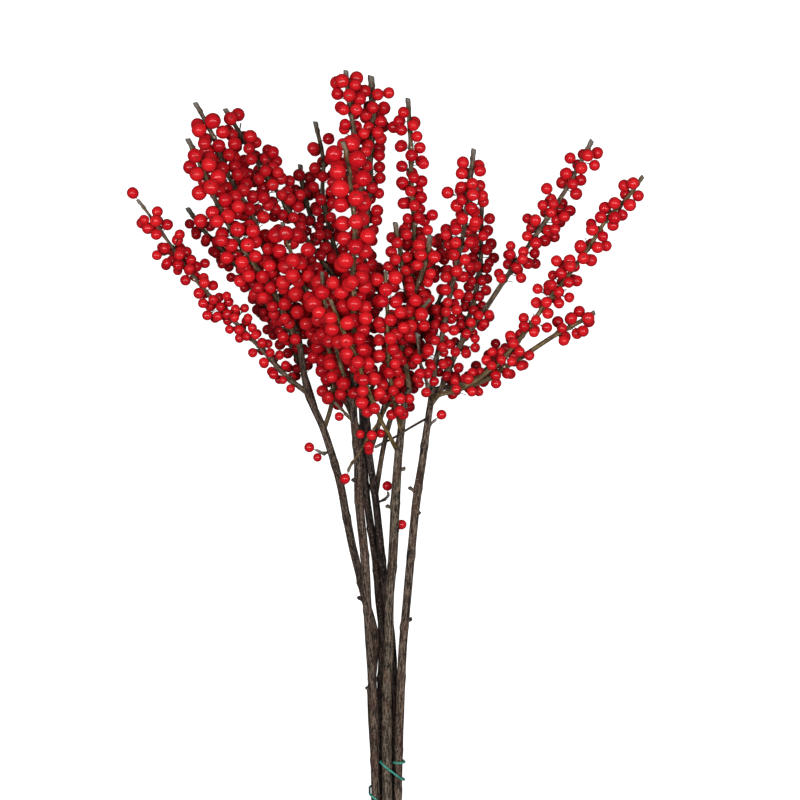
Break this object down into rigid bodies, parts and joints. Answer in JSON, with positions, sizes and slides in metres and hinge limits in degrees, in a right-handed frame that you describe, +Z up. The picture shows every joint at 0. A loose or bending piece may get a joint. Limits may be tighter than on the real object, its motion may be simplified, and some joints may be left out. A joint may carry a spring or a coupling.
{
  "type": "bunch of winterberry holly",
  "caption": "Bunch of leafless winterberry holly branches, thick with small round red berries, tied low with green twine and laid on a flat surface.",
  "frame": {"origin": "on the surface that the bunch lies on, under the middle of its outline seen from above", "axes": "+Y along the bunch from the cut ends to the tips, +Z up from the surface, +X to the right of the fan of branches seen from above with the tips away"},
  "size_m": [0.3426, 0.5981, 0.1857],
  "materials": {
    "bark": "matte",
    "berries": "gloss",
    "twine": "matte"
  },
  "bodies": {
    "root": {"spray_backLeft_hidden": "berries", "spray_backLeft_leader": "berries", "spray_backLeft_rear": "berries", "spray_backLeft_resting": "berries", "spray_backRight_leader": "berries", "spray_backRight_olive": "berries", "spray_backRight_rear": "berries", "spray_backRight_resting": "berries", "spray_backRight_spur": "berries", "spray_centre_hanging": "berries", "spray_centre_inner": "berries", "spray_centre_leader": "berries", "spray_centre_olive": "berries", "spray_centre_spur": "berries", "spray_front_filling": "berries", "spray_front_leader": "berries", "spray_front_twiglet": "berries", "spray_left_front": "berries", "spray_left_leader": "berries", "spray_left_lower": "berries", "spray_left_outer": "berries", "spray_left_resting": "berries", "spray_left_spur": "berries", "spray_left_upper": "berries", "spray_right_crossing": "berries", "spray_right_inner": "berries", "spray_right_leader": "berries", "spray_right_outer": "berries", "spray_right_resting": "berries", "spray_right_spur": "berries", "spray_right_wide": "berries", "stem_backLeft": "bark", "stem_backRight": "bark", "stem_centre": "bark", "stem_front": "bark", "stem_left": "bark", "stem_right": "bark", "twine_tie": "twine"}
  },
  "joints": []
}
